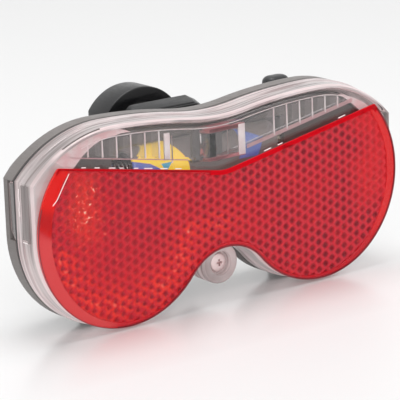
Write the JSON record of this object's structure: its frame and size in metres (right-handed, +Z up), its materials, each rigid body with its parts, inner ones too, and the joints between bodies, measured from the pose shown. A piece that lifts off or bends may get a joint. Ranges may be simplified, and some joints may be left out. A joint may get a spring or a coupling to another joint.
{
  "type": "bicycle tail light",
  "caption": "Battery tail light: clear cover with a wide red prism reflector, dark housing with push button and cells, and a tilting tube clamp on a slide-off bracket.",
  "frame": {"origin": "on the ground, in the middle of the light's box", "axes": "+X across the light, -Y the way the reflector faces, +Z up"},
  "size_m": [0.1098, 0.043, 0.0501],
  "materials": {
    "reflector_red": "moulded prisms behind a smooth face",
    "clear_cover": "clear gloss plastic",
    "clear_guide": "clear gloss plastic, ribbed",
    "steel": "plated",
    "housing_grey": "fine moulded grain",
    "black_rubber": "matt",
    "tray_grey": "matt",
    "cell_sleeve": "printed shrink sleeve over steel",
    "plated_strip": "plated strip",
    "spring_steel": "plated wire",
    "board_green": "lacquered board",
    "chip_black": "matt",
    "resistor_body": "lacquered",
    "plunger_plastic": "matt",
    "button_rubber": "soft rubber, matt",
    "lamp_red": "tinted clear resin",
    "wire_sleeve": "soft sleeve",
    "bracket_black": "satin moulded plastic"
  },
  "bodies": {
    "housing": {"rear_housing": "housing_grey", "housing_seal": "black_rubber", "battery_tray": "tray_grey", "battery_upper": "cell_sleeve", "battery_lower": "cell_sleeve", "contact_link": "plated_strip", "contact_plus": "plated_strip", "contact_minus": "plated_strip", "spring_upper": "spring_steel", "spring_lower": "spring_steel", "circuit_board": "board_green", "board_screws": "steel", "driver_chip": "chip_black", "resistor": "resistor_body", "switch_body": "chip_black", "lamp_board": "board_green", "lamp": "lamp_red", "lamp_wires": "wire_sleeve"},
    "cover": {"front_cover": "clear_cover", "red_reflector": "reflector_red", "light_guide": "clear_guide", "cover_screw": "steel"},
    "button": {"switch_button": "button_rubber", "switch_plunger": "plunger_plastic"},
    "bracket": {"bracket": "bracket_black", "tilt_screw": "steel", "tilt_nut": "steel"},
    "clamp": {"clamp_body": "bracket_black", "clamp_cap": "bracket_black", "liner_lower": "black_rubber", "liner_upper": "black_rubber", "clamp_screws": "steel", "clamp_nuts": "steel"}
  },
  "joints": [
    {"name": "cover_off", "type": "slide", "parent": "housing", "child": "cover", "axis": [0, -1, 0], "range_m": [0, 0.03]},
    {"name": "button_press", "type": "slide", "parent": "housing", "child": "button", "axis": [0, 0, -1], "range_m": [0, 0.0008], "stiffness_N_per_m": 2000, "springref_m": -0.0002},
    {"name": "bracket_slide", "type": "slide", "parent": "housing", "child": "bracket", "axis": [0, 0, 1], "range_m": [0, 0.032]},
    {"name": "clamp_tilt", "type": "hinge", "parent": "bracket", "child": "clamp", "pos_m": [0, 0.0165, 0.0174], "axis": [-1, 0, 0], "range_deg": [0, 90]}
  ]
}
